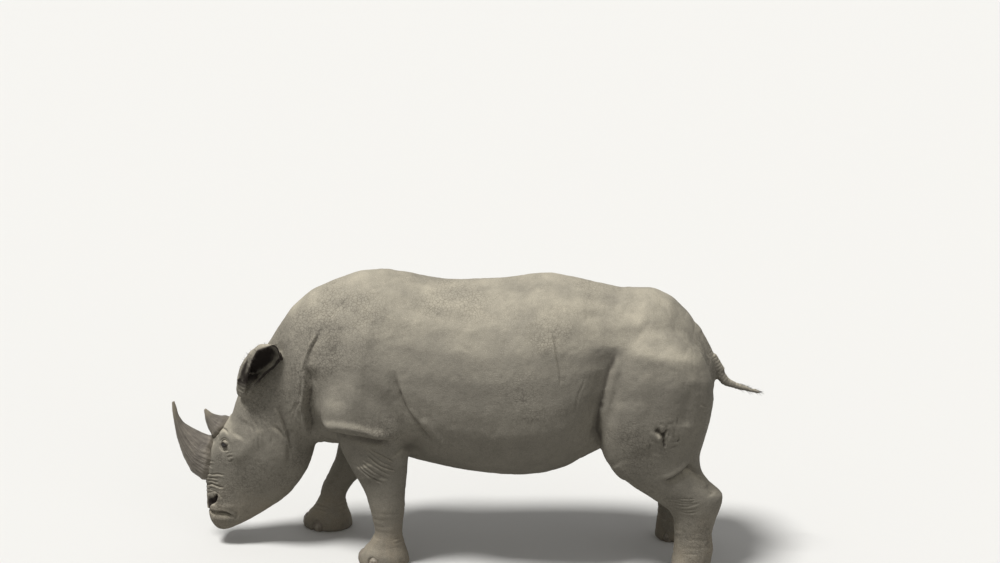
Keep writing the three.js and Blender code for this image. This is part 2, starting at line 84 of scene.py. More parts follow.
def bell(value, width):
    return np.exp(-((value / width) ** 2))


def box_of(node):
    """The low and the high corner of a node's box."""
    return [np.array(corner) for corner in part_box(node)]


def middle_of(node):
    low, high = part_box(node)
    return np.array((low + high) / 2)


def spot(node, across, up, axes=(0, 2)):
    """A place in a view, from thousandths of a node's box; the side view is [x, z]."""
    low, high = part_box(node)
    shares = zip(axes, (across / 1000, up / 1000))
    return np.array([low[axis] + share * (high[axis] - low[axis]) for axis, share in shares])


CURVE_STEPS = 8  # how many pieces a curve has between two of its points


def curve(points):
    """A smooth line through points, as a Catmull-Rom spline."""
    points = np.array(points, float)
    padded = np.vstack([2 * points[0] - points[1], points, 2 * points[-1] - points[-2]])
    share = np.linspace(0, 1, CURVE_STEPS, endpoint=False)[:, None]
    made = []
    for p0, p1, p2, p3 in zip(padded, padded[1:], padded[2:], padded[3:]):
        made.append(0.5 * (2 * p1 + (p2 - p0) * share + (2 * p0 - 5 * p1 + 4 * p2 - p3) * share**2
                           + (3 * p1 - p0 - 3 * p2 + p3) * share**3))
    return np.vstack([*made, points[-1]])


def side_curve(node, points):
    """A smooth line in the side view, through points in a node's box."""
    return curve([spot(node, *point) for point in points])


def along_line(places, line):
    """For each place: its distance to a line, its side of it (-1 or 1), and its share of the way along it."""
    lengths = norm(np.diff(line, axis=0), axis=1)
    starts = np.concatenate([[0], np.cumsum(lengths)])
    best = np.full(len(places), np.inf)
    side = np.ones(len(places))
    share = np.zeros(len(places))
    for begin, end, length, start in zip(line, line[1:], lengths, starts):
        step = (end - begin) / length
        offset = places - begin
        travel = np.clip(offset @ step, 0, length)
        gap = offset - travel[:, None] * step
        distance = norm(gap, axis=1)
        nearer = distance < best
        best[nearer] = distance[nearer]
        turn = step[0] * offset[:, 1] - step[1] * offset[:, 0]
        side[nearer] = np.where(turn[nearer] >= 0, 1, -1)
        share[nearer] = (start + travel[nearer]) / starts[-1]
    return best, side, share


def noise(points, size, seed):
    """Smooth noise from -1 to 1 whose lumps are about `size` across; size may differ for x, y and z."""
    scaled = (points - points.min(0)) / size + 1
    cell = np.floor(scaled).astype(int)
    share = scaled - cell
    share = share * share * share * (share * (share * 6 - 15) + 10)
    lattice = np.random.default_rng(SEED + seed).uniform(-1, 1, cell.max(0) + 2)
    total = np.zeros(len(points))
    for corner in np.ndindex(2, 2, 2):
        weight = np.prod(np.where(corner, share, 1 - share), axis=1)
        x, y, z = (cell + corner).T
        total += weight * lattice[x, y, z]
    return total


def lumps(points, rows):
    """The sum of several noises. Each row is how wide one's lumps are, how high, and its seed."""
    return sum(noise(points, np.array(size), seed) * height for size, height, seed in rows)


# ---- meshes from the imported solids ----
TOUCHING = 1e-5  # points closer than this are one


def placed(name, data):
    """A new object in the scene."""
    thing = bpy.data.objects.new(name, data)
    bpy.context.scene.collection.objects.link(thing)
    return thing


def object_of(made, name):
    """Turns a finished bmesh into an object."""
    mesh = bpy.data.meshes.new(name)
    made.to_mesh(mesh)
    made.free()
    return placed(name, mesh)


def copy_of(names, name):
    """One object that holds copies of the named nodes, with their shared points merged."""
    made = bmesh.new()
    for node in names:
        made.from_mesh(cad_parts[node].data)
    bmesh.ops.remove_doubles(made, verts=made.verts, dist=TOUCHING)
    bmesh.ops.recalc_face_normals(made, faces=made.faces)
    return object_of(made, name)


def distance_to(node, points, reach):
    """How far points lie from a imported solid's surface, up to `reach`."""
    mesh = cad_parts[node].data
    corners = [corner.co for corner in mesh.vertices]
    tree = BVHTree.FromPolygons(corners, [tuple(face.vertices) for face in mesh.polygons])
    low, high = box_of(node)
    near = np.all((points > low - reach) & (points < high + reach), axis=1)
    found = [tree.find_nearest(place, reach)[3] for place in points[near]]
    distance = np.full(len(points), float(reach))
    distance[near] = [reach if gap is None else gap for gap in found]
    return distance


def inside_box(points, node, margin):
    """1 for a point in a node's box, and falling to 0 at a margin round it."""
    low, high = box_of(node)
    outside = np.maximum(np.maximum(low - points, points - high), 0)
    return 1 - ramp(0, margin, norm(outside, axis=1))


def voxelled(thing, size):
    """Gives an object a new mesh, closed all round and of small even faces."""
    modifier = thing.modifiers.new("voxels", "REMESH")
    modifier.mode = "VOXEL"
    modifier.voxel_size = size
    graph = bpy.context.evaluated_depsgraph_get()
    mesh = bpy.data.meshes.new_from_object(thing.evaluated_get(graph))
    thing.modifiers.clear()
    old = thing.data
    thing.data = mesh
    bpy.data.meshes.remove(old)


class Clay:
    """An object's mesh with its points as an array, for sculpting."""

    def __init__(self, thing):
        self.thing = thing
        mesh = thing.data
        points = np.empty((len(mesh.vertices), 3), np.float32)
        mesh.vertices.foreach_get("co", points.ravel())
        self.points = points.astype(float)
        edges = np.empty((len(mesh.edges), 2), np.int32)
        mesh.edges.foreach_get("vertices", edges.ravel())
        ends = np.concatenate([edges[:, 0], edges[:, 1]])
        order = np.argsort(ends, kind="stable")
        self.near = np.concatenate([edges[:, 1], edges[:, 0]])[order]
        self.count = np.bincount(ends, minlength=len(points))
        self.first = np.concatenate([[0], np.cumsum(self.count)[:-1]])

    def around(self, values):
        """The mean of each point's neighbours."""
        total = np.add.reduceat(values[self.near], self.first, axis=0)
        return total / (self.count[:, None] if values.ndim > 1 else self.count)

    def eased(self, values, rounds, weight=0.5):
        for _ in range(rounds):
            values = values + weight * (self.around(values) - values)
        return values

    def smooth(self, rounds, weight=0.5):
        """Takes small bumps away and keeps the large form at its size."""
        if np.ndim(weight):
            weight = weight[:, None]
        once = self.eased(self.points, rounds, weight)
        twice = self.eased(once, rounds, weight)
        self.points = 2 * once - twice

    def hollow(self, rounds, normals):
        """How far each point lies under the surface that many rounds of easing would leave."""
        return np.einsum("ij,ij->i", self.eased(self.points, rounds) - self.points, normals)

    def write(self):
        """Gives the object the points as they are now."""
        mesh = self.thing.data
        mesh.vertices.foreach_set("co", self.points.astype(np.float32).ravel())
        mesh.update()

    def normals(self):
        self.write()
        normals = np.empty((len(self.points), 3), np.float32)
        self.thing.data.vertex_normals.foreach_get("vector", normals.ravel())
        return normals.astype(float)

    def push(self, amount):
        self.points += self.normals() * amount[:, None]

    def rest_on_floor(self):
        self.points[:, 2] = np.maximum(self.points[:, 2], 0)

    def store(self, name, values):
        """Keeps a number for each point, for the material to read."""
        attribute = self.thing.data.attributes.new(name, "FLOAT", "POINT")
        attribute.data.foreach_set("value", values.astype(np.float32))


def refined(thing, chosen):
    """Divides in two every edge whose ends are both chosen."""
    made = bmesh.new()
    made.from_mesh(thing.data)
    edges = [edge for edge in made.edges if all(chosen[end.index] for end in edge.verts)]
    bmesh.ops.subdivide_edges(made, edges=edges, cuts=1, use_grid_fill=True)
    made.to_mesh(thing.data)
    made.free()


def cover(thing, material):
    """Gives a finished piece its material and fixes it to the body."""
    thing.data.polygons.foreach_set("use_smooth", np.ones(len(thing.data.polygons), bool))
    thing.data.update()
    thing.data.materials.clear()
    thing.data.materials.append(material)
    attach(thing, "root")


def finish(thing, material, nodes):
    """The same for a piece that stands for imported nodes."""
    cover(thing, material)
    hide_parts(*nodes)


# ---- camera, floor and light ----
AIM = (0.022, 0, 1.0)  # what the photographer's distance and height are measured from
DISTANCE = 14.6
STANDS = {"turn": 6.0, "up": 17.7}
LOOKS = {"turn": -5.2, "down": 15.3}
LENS_MM = 90
FARTHEST = 200
FLOOR_REACH = 400
SKY_LIGHT = 0.26  # how bright the sky is where it lights the animal
SKY_SEEN = 0.86  # and where it is seen
KEY = {"comes_from": (-0.34, -0.24, 0.97), "spread": 16, "strength": 3.05}
FILL = {"comes_from": (0.6, -0.8, 0.4), "spread": 40, "strength": 0.18}


def add_camera():
    turn, up = math.radians(STANDS["turn"]), math.radians(STANDS["up"])
    out = Vector((math.sin(turn) * math.cos(up), -math.cos(turn) * math.cos(up), math.sin(up)))
    yaw, down = math.radians(LOOKS["turn"]), math.radians(LOOKS["down"])
    ahead = Vector((math.sin(yaw) * math.cos(down), math.cos(yaw) * math.cos(down), -math.sin(down)))
    data = bpy.data.cameras.new("camera")
    data.lens = LENS_MM
    data.clip_end = FARTHEST
    camera = placed("camera", data)
    camera.location = Vector(AIM) + out * DISTANCE
    camera.rotation_euler = ahead.to_track_quat("-Z", "Y").to_euler()
    bpy.context.scene.camera = camera


def add_floor():
    mesh = bpy.data.meshes.new("floor")
    signs = [(-1, -1), (1, -1), (1, 1), (-1, 1)]
    mesh.from_pydata([(FLOOR_REACH * x, FLOOR_REACH * y, 0) for x, y in signs], [], [(0, 1, 2, 3)])
    mesh.materials.append(floor_material())
    placed("floor", mesh)


def add_sun(name, comes_from, spread, strength):
    """A distant lamp, which lights the floor evenly all over; spread is how wide it looks, in degrees."""
    data = bpy.data.lights.new(name, "SUN")
    data.angle = math.radians(spread)
    data.energy = strength
    placed(name, data).rotation_euler = (-Vector(comes_from)).to_track_quat("-Z", "Y").to_euler()


def seen_rays(tree):
    """1 for a ray that shows a thing, straight or in gloss or glass, and 0 for one that only lights."""
    path = tree.nodes.new("ShaderNodeLightPath").outputs
    total = path["Is Camera Ray"]
    for name in ("Is Glossy Ray", "Is Transmission Ray"):
        added = tree.nodes.new("ShaderNodeMath")
        tree.links.new(total, added.inputs[0])
        tree.links.new(path[name], added.inputs[1])
        total = added.outputs[0]
    return total


def add_light():
    """A high soft sun, a weak one from the side, and a plain sky that looks as pale as the floor."""
    world = bpy.data.worlds.new("studio")
    world.use_nodes = True
    tree = world.node_tree
    strength = tree.nodes.new("ShaderNodeMapRange")
    strength.inputs["To Min"].default_value = SKY_LIGHT
    strength.inputs["To Max"].default_value = SKY_SEEN
    tree.links.new(seen_rays(tree), strength.inputs["Value"])
    background = tree.nodes["Background"]
    background.inputs["Color"].default_value = (1, 1, 1, 1)
    tree.links.new(strength.outputs["Result"], background.inputs["Strength"])
    bpy.context.scene.world = world
    add_sun("key", **KEY)
    add_sun("fill", **FILL)


# ---- materials ----
class Shader:
    """A short way to write a material's nodes."""

    def __init__(self, name):
        self.material = bpy.data.materials.new(name)
        self.material.use_nodes = True
        self.tree = self.material.node_tree
        self.surface = self.tree.nodes["Principled BSDF"]

    def feed(self, socket, value):
        if isinstance(value, bpy.types.NodeSocket):
            self.tree.links.new(value, socket)
        else:
            socket.default_value = value

    def node(self, kind, inputs, **settings):
        made = self.tree.nodes.new(kind)
        for key, value in settings.items():
            setattr(made, key, value)
        for key, value in inputs.items():
            self.feed(made.inputs[key], value)
        return made

    def coordinates(self, scale=(1, 1, 1)):
        place = self.node("ShaderNodeTexCoord", {}).outputs["Object"]
        return self.node("ShaderNodeMapping", {"Vector": place, "Scale": scale}).outputs["Vector"]

    def noise(self, scale, detail=4.0, roughness=0.55, stretch=(1, 1, 1), vector=None, output="Fac"):
        inputs = {"Vector": vector or self.coordinates(stretch), "Scale": scale, "Detail": detail,
                  "Roughness": roughness}
        return self.node("ShaderNodeTexNoise", inputs).outputs[output]

    def cracks(self, scale, vector, width):
        """0 on the edges of cells and 1 inside them; width is that of an edge, as a share of a cell."""
        inputs = {"Vector": vector, "Scale": scale}
        cells = self.node("ShaderNodeTexVoronoi", inputs, feature="DISTANCE_TO_EDGE")
        return self.spread(cells.outputs["Distance"], 0.0, width, kind="SMOOTHSTEP")

    def warped(self, scale, reach):
        """Object coordinates pushed about by noise, so that a pattern on them isn't regular."""
        place = self.coordinates()
        push = self.noise(scale, 3, 0.5, vector=place, output="Color")
        inputs = {0: push, 1: (reach, reach, reach), 2: place}
        return self.node("ShaderNodeVectorMath", inputs, operation="MULTIPLY_ADD").outputs["Vector"]

    def attribute(self, name, output="Fac"):
        return self.node("ShaderNodeAttribute", {}, attribute_name=name).outputs[output]

    def spread(self, value, low, high, new_low=0.0, new_high=1.0, kind="LINEAR"):
        inputs = {"Value": value, "From Min": low, "From Max": high, "To Min": new_low, "To Max": new_high}
        return self.node("ShaderNodeMapRange", inputs, interpolation_type=kind).outputs["Result"]

    def sum(self, *values):
        total = values[0]
        for value in values[1:]:
            total = self.node("ShaderNodeMath", {0: total, 1: value}, operation="ADD").outputs[0]
        return total

    def times(self, value, factor):
        return self.node("ShaderNodeMath", {0: value, 1: factor}, operation="MULTIPLY").outputs[0]

    def mix(self, share, first, second):
        inputs = {"Factor": share, 6: first, 7: second}  # 6 and 7 are the colours, A and B
        return self.node("ShaderNodeMix", inputs, data_type="RGBA").outputs[2]

    def layers(self, base, *tints):
        """The base with tints over it, each given as its share and its colour."""
        for share, tint in tints:
            base = self.mix(share, base, tint)
        return base

    def bump(self, height, depth, strength):
        inputs = {"Height": height, "Distance": depth, "Strength": strength}
        self.feed(self.surface.inputs["Normal"], self.node("ShaderNodeBump", inputs).outputs["Normal"])

    def done(self, base, roughness):
        self.feed(self.surface.inputs["Base Color"], base)
        self.feed(self.surface.inputs["Roughness"], roughness)
        return self.material


def colour(red, green, blue):
    """A screen colour from 0 to 255 as the linear values that a node takes."""
    values = [c / 255 for c in (red, green, blue)]
    linear = [c / 12.92 if c <= 0.04045 else ((c + 0.055) / 1.055) ** 2.4 for c in values]
    return (*linear, 1.0)


FLOOR_LIT, FLOOR_SEEN = (0.3, 0.295, 0.28, 1), (0.78, 0.77, 0.74, 1)
HIDE = colour(131, 126, 115), colour(156, 150, 137)
# the first colour here is dust, and also a painted top light on hide that faces up
DUST_AND_TOP_LIGHT, SOIL, SPECK = colour(204, 195, 174), colour(166, 151, 128), colour(95, 90, 81)
# the second and third colours here are painted shade: in creases and hollows, and in the ears' cups, the
# nostrils and round the eyes
HATCH, FOLD_SHADE, RECESS_SHADE = colour(92, 86, 77), colour(72, 67, 60), colour(46, 40, 36)
FINE_CRACK, COARSE_CRACK = colour(82, 77, 68), colour(78, 72, 64)
HORN = colour(98, 91, 82), colour(146, 138, 125)
HORN_PATCH, HORN_TIP, HORN_ROOT = colour(84, 77, 70), colour(186, 175, 153), colour(124, 116, 103)
NAIL, NAIL_DIRT = (colour(112, 103, 91), colour(158, 149, 133)), colour(104, 90, 75)
PUPIL, IRIS, EYE_RIM = colour(9, 8, 7), colour(33, 23, 16), colour(52, 42, 35)
BRISTLE = colour(34, 29, 25), colour(66, 57, 48)


def floor_material():
    """Pale where it is seen, and darker in the light that it throws back, as grass would be."""
    shader = Shader("floor")
    return shader.done(shader.mix(seen_rays(shader.tree), FLOOR_LIT, FLOOR_SEEN), 0.9)


def skin_material():
    """Dry grey hide: dust and painted top light above, painted shade in folds and recesses, finely cracked,
    coarser in patches.
    """
    shader = Shader("hide")
    spread, times, attribute = shader.spread, shader.times, shader.attribute
    rough = spread(shader.noise(1.7, 4, 0.55, stretch=(1, 1, 1.3)), 0.5, 0.64)
    specks = times(spread(shader.noise(44, 5, 0.7), 0.5, 0.62), spread(rough, 0, 1, 0.16, 0.5))
    # dust, together with a painted top light, where the hide faces up
    dust = times(attribute("dust"), spread(shader.noise(5, 6, 0.6), 0.2, 0.7))
    soil = times(attribute("soil"), spread(shader.noise(9, 5, 0.6), 0.25, 0.75))
    hatch = spread(shader.noise(1.0, 4, 0.6, stretch=(95, 95, 24)), 0.5, 0.34)
    hatched = times(attribute("slack"), hatch)
    warp = shader.warped(16, 0.02)
    fine = shader.cracks(130, warp, 0.3)
    coarse = shader.cracks(50, warp, 0.12)
    base = shader.mix(spread(shader.noise(2.2, 5, 0.6), 0.32, 0.68), *HIDE)
    # among these tints: painted shade in folds and hollows, and painted shade in the recesses of ears,
    # nostrils and eyes
    base = shader.layers(base, (specks, SPECK), (times(dust, 0.9), DUST_AND_TOP_LIGHT), (times(soil, 0.6), SOIL),
                         (times(hatched, 0.35), HATCH), (times(attribute("fold"), 0.85), FOLD_SHADE),
                         (spread(fine, 0, 0.6, 0.26, 0), FINE_CRACK),
                         (times(spread(coarse, 0, 1, 0.4, 0), rough), COARSE_CRACK), (attribute("dark"), RECESS_SHADE))
    shader.feed(shader.surface.inputs["Specular IOR Level"], 0.22)
    height = shader.sum(times(fine, 0.3), times(times(coarse, rough), 0.4), times(shader.noise(34), 0.8),
                        shader.noise(11), times(shader.noise(120, 3, 0.5), 0.3), times(hatched, -0.7))
    shader.bump(height, 0.0045, 0.65)
    return shader.done(base, 0.85)


def horn_material():
    """Packed grey-brown fibres along the horn, pale at its point and like hide at its root."""
    shader = Shader("horn")
    grain = shader.attribute("grain", "Vector")
    streaks = shader.spread(shader.noise(1.0, 6, 0.65, vector=grain), 0.36, 0.64)
    patches = shader.spread(shader.noise(11, 5, 0.65), 0.45, 0.66)
    base = shader.layers(shader.mix(streaks, *HORN), (shader.times(patches, 0.5), HORN_PATCH),
                         (shader.times(shader.attribute("tip"), 0.75), HORN_TIP),
                         (shader.times(shader.attribute("root"), 0.8), HORN_ROOT))
    shader.bump(shader.sum(streaks, shader.times(shader.noise(60, 5, 0.6), 0.7)), 0.004, 0.85)
    return shader.done(base, 0.62)


def nail_material():
    shader = Shader("nail")
    stripes = shader.noise(60, 5, 0.6, stretch=(1, 1, 0.12))
    dirt = shader.spread(shader.noise(25, 5, 0.6), 0.5, 0.7)
    base = shader.mix(shader.spread(stripes, 0.38, 0.64), *NAIL)
    shader.bump(stripes, 0.002, 0.7)
    return shader.done(shader.mix(shader.times(dirt, 0.55), base, NAIL_DIRT), 0.55)


def eye_material():
    """Wet and nearly black: a dark brown iris round the pupil, with a brown rim of white."""
    shader = Shader("eye")
    iris = shader.attribute("iris")
    base = shader.mix(shader.spread(iris, 0.42, 0.5), PUPIL, IRIS)
    return shader.done(shader.mix(shader.spread(iris, 0.86, 1.0), base, EYE_RIM), 0.08)


def hair_material():
    shader = Shader("bristle")
    return shader.done(shader.mix(shader.spread(shader.noise(40, 3), 0.35, 0.65), *BRISTLE), 0.6)


# ---- lines of the hide ----
# A line is drawn in one view of the animal. Its points are thousandths of a node's box there, [across, up].
# Depth and width are in metres: a groove's depth is over nought and a ridge's is under. Going along the line,
# lip is how high its right bank stands, and soft is how far its left bank reaches, if that isn't its width.
# A line of the side view is drawn on both flanks, and one with all_round on the animal's front too.
Line = namedtuple("Line", "node points depth width lip soft all_round view", defaults=(0, 0, False, "side"))
# For each view: the axes across it and up it, the axis that faces it, and which way, or 0 for both.
VIEWS = {"side": (0, 2, 1, 0), "back": (1, 2, 0, 1), "above": (0, 1, 2, 1)}
LINE_ENDS = (-0.02, 0.2)  # the shares of a line's length between which it rises to its depth, at each end
BANK = {"out": 2.2, "wide": 1.6}  # how far out a lip stands and how wide it is, in widths of the line
FACING = (0.1, 0.5)  # how far the hide has to face a view to take its lines, least and fully

# For each part, its lines without its name. The left and the right leg have the same ones.
BODY_LINES = {"trunk": [
    # the shoulder's rear crease, up from the armpit, and the ridge of slack skin behind it
    ([[318, 225], [297, 290], [284, 334], [262, 388], [248, 449], [237, 514], [226, 600]], 0.02, 0.01, 0.004,
     0.035),
    ([[255, 140], [275, 220], [300, 310]], 0.02, 0.05),
    ([[294, 370], [316, 310], [331, 280], [350, 210]], -0.011, 0.024),
    # where the neck's slack skin hangs over the shoulder: two creases above and a deep fold below
    ([[140, 960], [90, 870], [58, 800], [35, 730], [20, 671]], 0.0035, 0.01, 0, 0.03),
    ([[36, 740], [20, 671], [7, 600], [1, 555], [-3, 490]], 0.008, 0.007, 0.004, 0.024),
    ([[34, 740], [13, 650], [0, 585], [-8, 520], [-12, 450], [-9, 380]], 0.005, 0.0055, 0.003),
    ([[0, 580], [5, 478], [4, 430], [-1, 385], [-3, 340], [1, 275], [2, 180]], 0.042, 0.009, 0.013, 0.09),
    # shoulder blade
    ([[165, 830], [145, 640], [135, 450], [130, 360]], -0.014, 0.055),
    ([[93, 800], [80, 620], [85, 450], [95, 370]], 0.013, 0.045),
    ([[250, 950], [250, 550]], 0.007, 0.08),
    # the roll over the foreleg
    ([[35, 310], [59, 308], [100, 312], [142, 302], [180, 282], [222, 262]], -0.022, 0.022),
    ([[220, 231], [180, 238], [141, 250], [100, 260], [52, 266], [30, 262]], 0.032, 0.013, 0.006, 0.04),
    # flank and hip
    ([[722, 200], [719, 270], [720, 305], [727, 397], [736, 482], [742, 551], [752, 634], [762, 720]], 0.042,
     0.017, 0, 0.09),
    ([[604, 800], [612, 773], [624, 670], [631, 596], [631, 550]], 0.005, 0.006, 0.002),
    ([[690, 600], [686, 559], [676, 516], [668, 420]], 0.0022, 0.007, 0.001),
    ([[700, 900], [730, 620]], 0.008, 0.08),
    ([[760, 900], [830, 800]], -0.008, 0.06),
    ([[321, 111], [428, 77], [556, 69]], 0.006, 0.02, 0.004),
    ([[727, 211], [701, 161], [667, 128]], -0.012, 0.025),
    ([[360, 500], [600, 500], [850, 500]], -0.009, 0.04, 0, 0, False, "above"),
    # tail root and buttocks, from behind
    ([[430, 740], [410, 600], [400, 450], [410, 280]], 0.01, 0.024, 0, 0, False, "back"),
    ([[570, 740], [590, 600], [600, 450], [590, 280]], 0.01, 0.024, 0, 0, False, "back"),
    ([[500, 620], [500, 520]], -0.012, 0.026, 0, 0, False, "back"),
    ([[500, 460], [500, 300]], 0.006, 0.014, 0, 0, False, "back"),
], "neck": [
    # folds of the throat, behind the cheek
    ([[170, 330], [206, 279], [271, 219], [336, 164], [385, 120], [420, 60]], 0.004, 0.008, 0.003, 0.02),
    ([[420, 560], [430, 420], [460, 330], [500, 250]], 0.004, 0.012, 0.002),
]}
LEG_LINES = {
    "upper_foreleg": [([[460, 530], [530, 310]], -0.01, 0.06), ([[800, 660], [900, 500]], -0.012, 0.04)],
    "thigh": [
        ([[830, 170], [790, 135], [730, 98], [660, 66], [580, 45]], 0.024, 0.01, 0.008, 0.03),
        ([[960, 30], [914, 59], [851, 96], [790, 150]], 0.018, 0.01, 0.005, 0.02),
        ([[170, 140], [290, 30]], -0.01, 0.05),
        ([[840, 730], [790, 550], [750, 420]], 0.01, 0.04),
        ([[300, 600], [350, 400], [450, 240]], -0.012, 0.1),
    ],
    "hind_shank": [([[840, 1000], [900, 860]], 0.01, 0.016), ([[500, 400], [560, 200]], -0.005, 0.03)],
}
HEAD_LINES = {"head": [
    ([[145, 430], [170, 452], [210, 462], [270, 448], [310, 420]], -0.004, 0.018),  # brow
    ([[140, 420], [149, 447], [165, 466], [190, 476], [222, 478], [250, 466]], 0.007, 0.005, 0.002),
    ([[340, 450], [420, 560]], 0.007, 0.045),  # temple
    ([[270, 335], [370, 365], [500, 440], [580, 520]], -0.007, 0.036),  # cheekbone
    ([[540, 560], [630, 340], [720, 80]], -0.008, 0.1),  # chewing muscle
    ([[330, 340], [400, 180], [460, 20]], 0.006, 0.05),
    ([[653, 545], [726, 514], [784, 461], [808, 382], [775, 300]], 0.008, 0.01, 0.004),
    # where the cheek ends at the throat
    ([[680, 660], [735, 616], [770, 565], [800, 510], [823, 450], [840, 360]], 0.007, 0.008, 0.005, 0.03),
    # wrinkles of the muzzle, from the horn down to the nostril
    ([[-20, 205], [35, 212], [94, 219], [144, 227], [210, 225]], 0.0055, 0.0045, 0.004, 0, True),
    ([[-20, 183], [34, 191], [87, 198], [150, 199]], 0.0045, 0.004, 0.003, 0, True),
    ([[20, 170], [75, 180], [109, 176], [150, 180]], 0.004, 0.004, 0.003),
    ([[-20, 135], [32, 147], [69, 160], [114, 157], [163, 152], [200, 158]], 0.0075, 0.005, 0.004, 0, True),
    ([[-20, 82], [29, 100], [77, 115], [120, 117], [160, 100], [190, 70]], 0.003, 0.0055, 0.001, 0, True),
    ([[190, 140], [135, 65], [80, 0]], -0.004, 0.024),  # behind the nostril
    ([[-10, 35], [50, 30], [149, 30], [247, 38], [300, 45]], -0.006, 0.02, 0, 0, True),  # upper lip
], "jaw": [
    ([[410, 600], [350, 700], [280, 765], [147, 785], [50, 770], [-30, 770]], 0.022, 0.006, 0.004, 0.014,
     True),  # mouth
    ([[430, 840], [450, 680], [420, 500]], 0.006, 0.008),  # its corner
    ([[50, 500], [200, 520], [360, 500]], -0.006, 0.018, 0, 0, True),  # lower lip
], "ear_left": [
    # the left ear's front, and the fold in its cup
    ([[370, 800], [343, 748], [319, 674], [304, 591], [300, 530]], 0.0025, 0.014),
    ([[440, 440], [482, 452], [598, 493], [744, 512], [850, 534]], -0.004, 0.009),
]}


def course(line):
    """A line's smooth course in its view, in metres."""
    return curve([spot(line.node, *point, VIEWS[line.view]) for point in line.points])


def line_push(clay, normals, base, line, scale=1.0):
    """How far one line moves each point. base is its course in metres in its view."""
    across, up, facing, sign = VIEWS[line.view]
    places = clay.points[:, [across, up]]
    reach = 3 * max(line.width, line.soft) + line.width
    close = np.all((places > base.min(0) - reach) & (places < base.max(0) + reach), axis=1)
    turned = normals[:, facing] * sign if sign else np.abs(normals[:, facing])
    if line.all_round:
        turned = np.maximum(turned, -normals[:, 0])
    close &= turned > FACING[0]
    if line.node.endswith(tuple(SIDES)):
        close &= clay.points[:, 1] * SIDES[line.node.split("_")[-1]] > 0
    amount = np.zeros(len(places))
    if not close.any():
        return amount
    distance, side, share = along_line(places[close], base)
    ends = ramp(*LINE_ENDS, share) * ramp(*LINE_ENDS, 1 - share)
    bank = line.lip * bell(distance - BANK["out"] * line.width, BANK["wide"] * line.width) * (side < 0)
    groove = -line.depth * bell(distance, np.where(side > 0, line.soft or line.width, line.width))
    amount[close] = scale * (groove + bank) * ends * ramp(*FACING, turned[close])
    return amount


FORELEG_WRINKLE = 0.0055, 0.0048, 0.003
HOCK_WRINKLE = [[440, 860], [620, 830], [780, 860]], 0.0035, 0.0045, 0.002
THIGH_WRINKLE = [[880, 570], [940, 550], [1000, 570]], 0.0035, 0.006, 0.002
# Sets of small wrinkles side by side: how many, how far apart to the left hand, and the first one's line.
WRINKLES = [
    (7, -0.024, "upper_foreleg_left", [[500, 790], [600, 700], [720, 610], [880, 520]], *FORELEG_WRINKLE),
    (7, -0.024, "upper_foreleg_right", [[450, 800], [550, 720], [650, 650], [800, 580]], *FORELEG_WRINKLE),
    *[(6, -0.017, shank, *HOCK_WRINKLE) for shank in both("hind_shank")],
    *[(9, -0.025, thigh, *THIGH_WRINKLE) for thigh in both("thigh")],
    (3, 0.02, "head", [[-20, 260], [50, 258], [120, 262]], 0.004, 0.005, 0.002, 0, True),
    (2, -0.013, "head", [[-20, 125], [50, 135], [120, 138]], 0.004, 0.0045, 0.002, 0, True),
    (4, 0.022, "head", [[290, 388], [250, 381], [215, 374]], 0.004, 0.0045, 0.003),
    (3, 0.018, "head", [[560, 400], [535, 440], [530, 480]], 0.0025, 0.006, 0.0015),
    (5, -0.03, "head", [[600, 620], [680, 530], [700, 440]], 0.002, 0.006, 0.0015),
    (5, -0.024, "neck", [[950, 370], [800, 300], [700, 200]], 0.0025, 0.007, 0.0015),
    (3, -0.03, "trunk", [[20, 220], [50, 170], [100, 140]], 0.008, 0.009, 0.004),
    (3, -0.022, "trunk", [[370, 280], [355, 200], [350, 130]], 0.003, 0.007, 0.002),
    (5, -0.0245, "ear_left", [[50, 425], [110, 412], [202, 393], [308, 396], [430, 445]], -0.009, 0.008),
    (5, -0.024, "ear_right", [[0, 300], [120, 200], [300, 200]], 0.005, 0.0055, 0.004),
]


def to_left(base):
    """The direction to the left hand of a line's run."""
    step = base[-1] - base[0]
    return np.array([-step[1], step[0]]) / norm(step)


def shaken(base, gap, chance):
    """A line that chance has shifted, bent and cut a little, by shares of the gap to the next one."""
    share = np.linspace(0, 1, len(base))[:, None]
    bend = np.sin(2 * math.pi * (chance.uniform() + share * chance.uniform(0.4, 1.2)))
    moved = base + to_left(base) * abs(gap) * (chance.normal(0, 0.15) + 0.2 * bend)
    first, last = round(chance.uniform(0, 0.12) * len(base)), round(chance.uniform(0.85, 1) * len(base))
    return moved[first:last]


def wrinkles():
    """Each wrinkle of the sets: its line, its course, and how strong it is."""
    chance = np.random.default_rng(SEED)
    for count, gap, *first in WRINKLES:
        line = Line(*first)
        base = course(line)
        for index in range(count):
            yield line, shaken(base + to_left(base) * gap * index, gap, chance), chance.uniform(0.7, 1.15)


def strokes_of(table):
    """Each line of a table, its course, and its strength, which is full."""
    for part, rows in table.items():
        for node in [part] if part in FLESH else both(part):
            for row in rows:
                line = Line(node, *row)
                yield line, course(line), 1.0


def carve(clay, strokes):
    """Presses lines into the clay along the normals that it has at the start."""
    normals = clay.normals()
    total = np.zeros(len(clay.points))
    for line, base, scale in strokes:
        total += line_push(clay, normals, base, line, scale)
    clay.points += normals * total[:, None]


# ---- other forms of the hide ----
# Rings of wrinkles round the lower legs: the part, and how high they lie in its box.
RINGS = {"lower_foreleg": (0.02, 0.2, 0.36, 0.55, 0.72), "forefoot": (0.72, 0.88), "hindfoot": (0.78, 0.92),
         "hind_shank": (0.06, 0.18, 0.3)}
RING_DEPTH = 0.0032
RING_WIDTH = 0.0065
RING_WOBBLE = 0.014  # how far a ring wanders up and down


